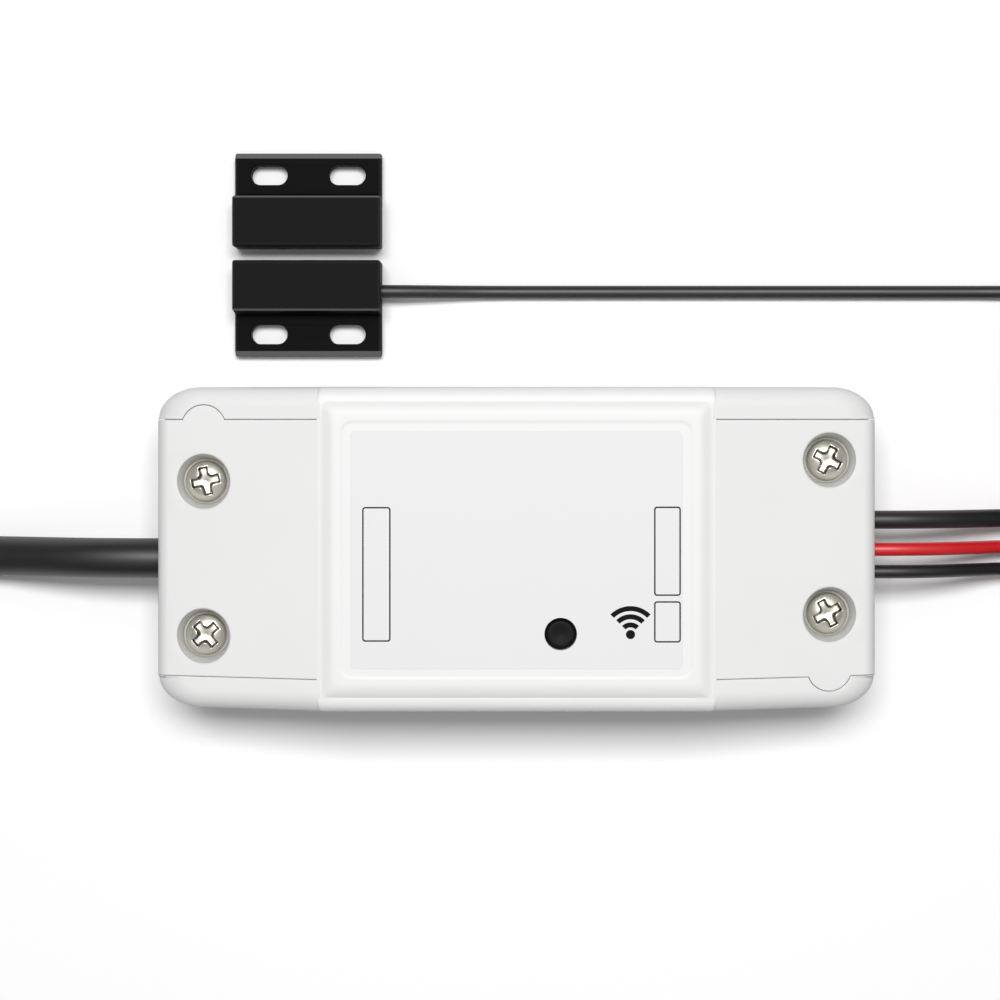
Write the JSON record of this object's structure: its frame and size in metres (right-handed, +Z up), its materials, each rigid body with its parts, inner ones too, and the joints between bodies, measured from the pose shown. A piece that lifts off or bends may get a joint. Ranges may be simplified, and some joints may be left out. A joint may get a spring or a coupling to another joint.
{
  "type": "garage door controller",
  "caption": "White plastic relay box with a raised middle, sloping screwed end covers and a push button, with a mains lead, output wires and a wired magnetic door contact.",
  "frame": {"origin": "middle of the box's bottom face, which lies on the surface", "axes": "+X along the box to the output end, +Y across the box to the door contact, +Z up out of the label"},
  "size_m": [0.3005, 0.0759, 0.0364],
  "materials": {
    "shell_white": "fine matt moulded",
    "label_white": "satin printed film",
    "screw_steel": "nickel plated",
    "button_black": "matt moulded",
    "board_green": "solder mask",
    "relay_blue": "gloss moulded",
    "tape_yellow": "wound tape",
    "capacitor_sleeve": "shrunk sleeve",
    "varistor_blue": "dipped lacquer",
    "fuse_tan": "lacquer",
    "chip_black": "moulded epoxy",
    "led_clear": "clear resin",
    "tinned_steel": "tinned",
    "terminal_green": "moulded",
    "core_brown": "extruded",
    "core_blue": "extruded",
    "core_white": "extruded",
    "contact_black": "matt moulded",
    "magnet_grey": "nickel plated",
    "potting_grey": "cast resin",
    "reed_glass": "clear",
    "lead_black": "extruded, half gloss",
    "wire_red": "extruded, half gloss",
    "plug_black": "moulded",
    "pin_nickel": "nickel plated",
    "tie_black": "strap"
  },
  "bodies": {
    "controller": {"base_shell": "shell_white", "top_cover": "shell_white", "input_end_cover": "shell_white", "output_end_cover": "shell_white", "label_panel": "label_white", "cover_screws": "screw_steel", "terminal_screws": "screw_steel", "tact_switch": "button_black", "circuit_board": "board_green", "wifi_board": "board_green", "relay": "relay_blue", "transformer": "tape_yellow", "bulk_capacitor": "capacitor_sleeve", "varistor": "varistor_blue", "fuse_resistor": "fuse_tan", "bridge_rectifier": "chip_black", "status_led": "led_clear", "wifi_shield": "tinned_steel", "reed_leads": "tinned_steel", "red_tip": "tinned_steel", "black_tip": "tinned_steel", "input_terminals": "terminal_green", "output_terminals": "terminal_green", "live_core": "core_brown", "neutral_core": "core_blue", "sensor_cores": "core_white", "switch_housing": "contact_black", "switch_potting": "potting_grey", "reed_capsule": "reed_glass", "mains_lead": "lead_black", "mains_coil": "lead_black", "mains_tail": "lead_black", "sensor_pigtail": "lead_black", "sensor_lead": "lead_black", "sensor_coil": "lead_black", "sensor_tail": "lead_black", "black_wire": "lead_black", "black_coil": "lead_black", "black_tail": "lead_black", "red_wire": "wire_red", "red_coil": "wire_red", "red_tail": "wire_red", "mains_plug": "plug_black", "sensor_socket": "plug_black", "sensor_plug": "plug_black", "plug_pins": "pin_nickel", "coil_ties": "tie_black"},
    "button": {"pairing_button": "button_black", "tact_plunger": "button_black"},
    "door_magnet": {"magnet_housing": "contact_black", "bar_magnet": "magnet_grey", "magnet_potting": "potting_grey"}
  },
  "joints": [
    {"name": "button_press", "type": "slide", "parent": "controller", "child": "button", "axis": [0, 0, -1], "range_m": [0, 0.0004], "stiffness_N_per_m": 2500, "springref_m": -0.0002},
    {"name": "door_slide", "type": "slide", "parent": "controller", "child": "door_magnet", "axis": [0, 1, 0], "range_m": [0, 0.04]}
  ]
}
